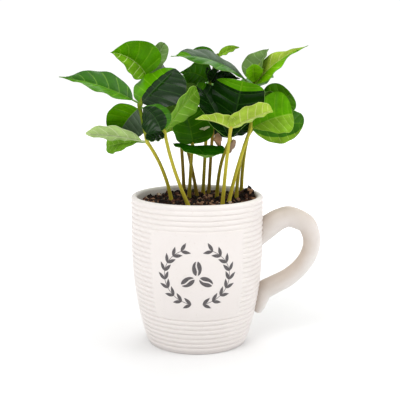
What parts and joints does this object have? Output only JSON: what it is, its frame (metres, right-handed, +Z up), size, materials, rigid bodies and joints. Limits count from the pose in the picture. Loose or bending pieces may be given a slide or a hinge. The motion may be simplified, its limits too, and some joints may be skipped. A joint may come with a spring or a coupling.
{
  "type": "potted coffee plant",
  "caption": "Clump of slender coffee seedlings with glossy rounded and pointed leaves, growing in soil in a white ribbed ceramic mug with a half-heart handle and a smooth front panel",
  "frame": {"origin": "centre of the mug's flat underside, on the mug's axis", "axes": "+Z up along the mug's axis, +X towards the handle, -Y towards the smooth front panel"},
  "size_m": [0.1712, 0.1276, 0.2052],
  "materials": {
    "glaze": "white glaze, satin",
    "soil": "dark moist potting soil",
    "stem": "olive green, smooth",
    "leaf": "glossy green leaf"
  },
  "bodies": {
    "root": {"mug_body": "glaze", "mug_handle": "glaze", "soil": "soil", "stem_left_front": "stem", "leaves_left_front": "leaf", "stem_middle_front": "stem", "leaves_middle_front": "leaf", "stem_left_back": "stem", "leaves_left_back": "leaf", "stem_left_inner": "stem", "leaves_left_inner": "leaf", "stem_middle_low": "stem", "leaves_middle_low": "leaf", "stem_middle_tall": "stem", "leaves_middle_tall": "leaf", "stem_middle_back": "stem", "leaves_middle_back": "leaf", "stem_right_inner": "stem", "leaves_right_inner": "leaf", "stem_right_front": "stem", "leaves_right_front": "leaf", "stem_right_tall": "stem", "leaves_right_tall": "leaf", "stem_right_low": "stem", "leaves_right_low": "leaf", "stem_right_back": "stem", "leaves_right_back": "leaf"}
  },
  "joints": []
}
